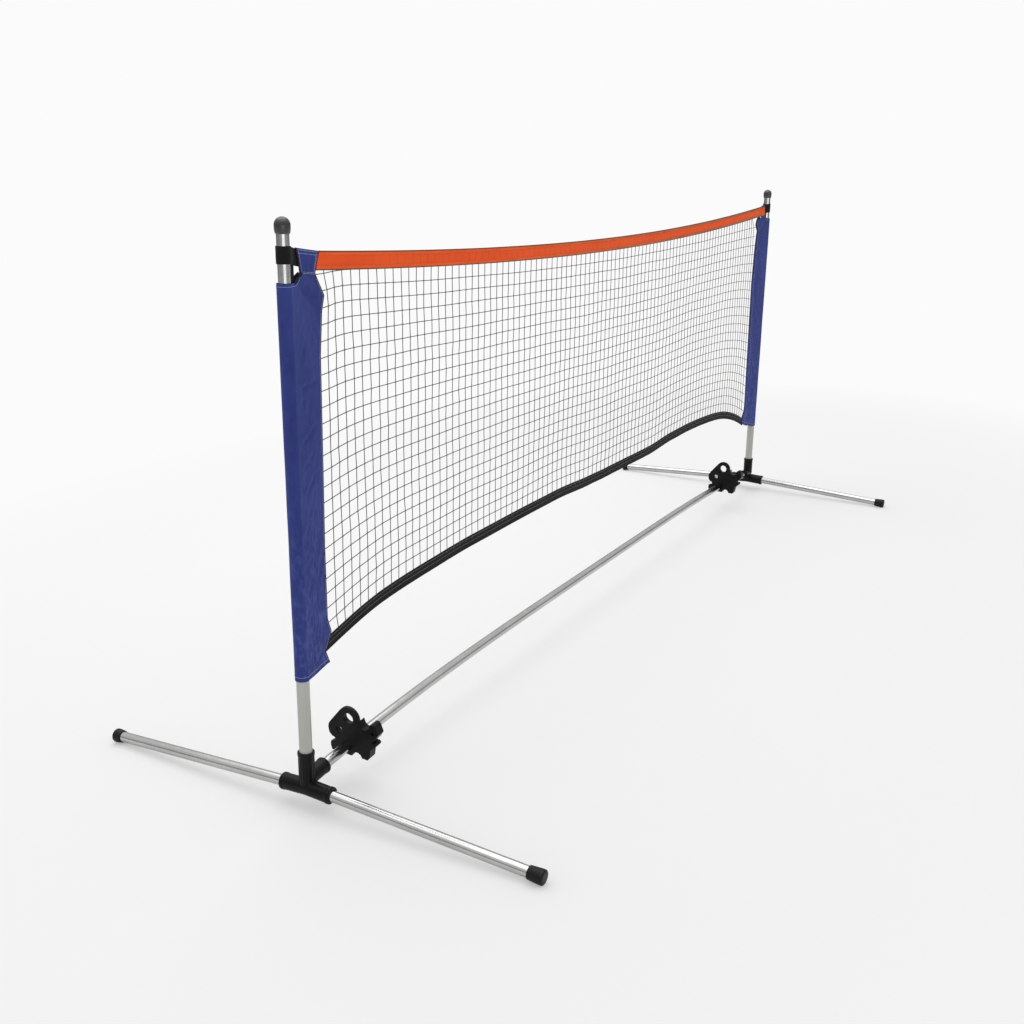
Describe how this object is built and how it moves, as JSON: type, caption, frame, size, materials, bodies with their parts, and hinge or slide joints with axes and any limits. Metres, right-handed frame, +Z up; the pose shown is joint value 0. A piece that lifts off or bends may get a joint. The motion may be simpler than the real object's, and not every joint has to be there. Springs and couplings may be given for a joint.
{
  "type": "multisport net",
  "caption": "Free-standing multisport net with telescopic posts, cloth sleeves, ground bar and sloping feet.",
  "frame": {"origin": "on the floor under the middle of the net, halfway between the two posts", "axes": "+X along the net from the near post to the far post, +Z up, the feet along Y"},
  "size_m": [3.0386, 1.1662, 1.2463],
  "materials": {
    "polished_tube": "polished",
    "satin_tube": "satin",
    "black_plastic": "matte",
    "dark_rubber": "matte",
    "white_nylon": "matte",
    "blue_cloth": "woven",
    "orange_tape": "woven",
    "black_webbing": "woven",
    "net_cord": "knotted cord"
  },
  "bodies": {
    "base": {"near_base_tee": "black_plastic", "far_base_tee": "black_plastic", "near_bar_tube": "polished_tube", "middle_bar_tube": "polished_tube", "far_bar_tube": "polished_tube", "near_front_foot": "polished_tube", "near_back_foot": "polished_tube", "near_front_foot_cap": "dark_rubber", "near_back_foot_cap": "dark_rubber", "near_lower_post": "satin_tube", "near_post_bush": "white_nylon", "far_front_foot": "polished_tube", "far_back_foot": "polished_tube", "far_front_foot_cap": "dark_rubber", "far_back_foot_cap": "dark_rubber", "far_lower_post": "satin_tube", "far_post_bush": "white_nylon"},
    "near_lift": {"near_lock_expander": "white_nylon", "near_corner_strap": "black_webbing", "near_corner_flap": "blue_cloth", "near_net_sleeve": "blue_cloth", "far_net_sleeve": "blue_cloth", "far_corner_flap": "blue_cloth", "top_tape": "orange_tape", "bottom_tape": "black_webbing", "net_mesh": "net_cord"},
    "far_lift": {"far_lock_expander": "white_nylon", "far_corner_strap": "black_webbing"},
    "near_upper": {"near_upper_post": "polished_tube", "near_ball_cap": "dark_rubber", "near_lock_spindle": "black_plastic"},
    "far_upper": {"far_upper_post": "polished_tube", "far_ball_cap": "dark_rubber", "far_lock_spindle": "black_plastic"},
    "near_clip": {"near_storage_clip": "black_plastic"},
    "far_clip": {"far_storage_clip": "black_plastic"}
  },
  "joints": [
    {"name": "near_height", "type": "slide", "parent": "base", "child": "near_lift", "axis": [0, 0, 1], "range_m": [0, 0.37]},
    {"name": "far_height", "type": "slide", "parent": "base", "child": "far_lift", "axis": [0, 0, 1], "range_m": [0, 0.37]},
    {"name": "near_lock_twist", "type": "hinge", "parent": "near_lift", "child": "near_upper", "pos_m": [-1.5, 0, 0.6], "axis": [0, 0, 1], "range_deg": [0, 90]},
    {"name": "far_lock_twist", "type": "hinge", "parent": "far_lift", "child": "far_upper", "pos_m": [1.5, 0, 0.6], "axis": [0, 0, 1], "range_deg": [0, 90]},
    {"name": "near_clip_turn", "type": "hinge", "parent": "base", "child": "near_clip", "pos_m": [-1.359, 0, 0.0771], "axis": [0.9968, 0, 0.0804], "range_deg": [-90, 60]},
    {"name": "far_clip_turn", "type": "hinge", "parent": "base", "child": "far_clip", "pos_m": [1.13, 0, 0.09205], "axis": [0.9986, 0, -0.052], "range_deg": [-90, 60]}
  ],
  "couplings": [
    {"joint": "far_height", "follows": "near_height", "ratio": 1}
  ]
}
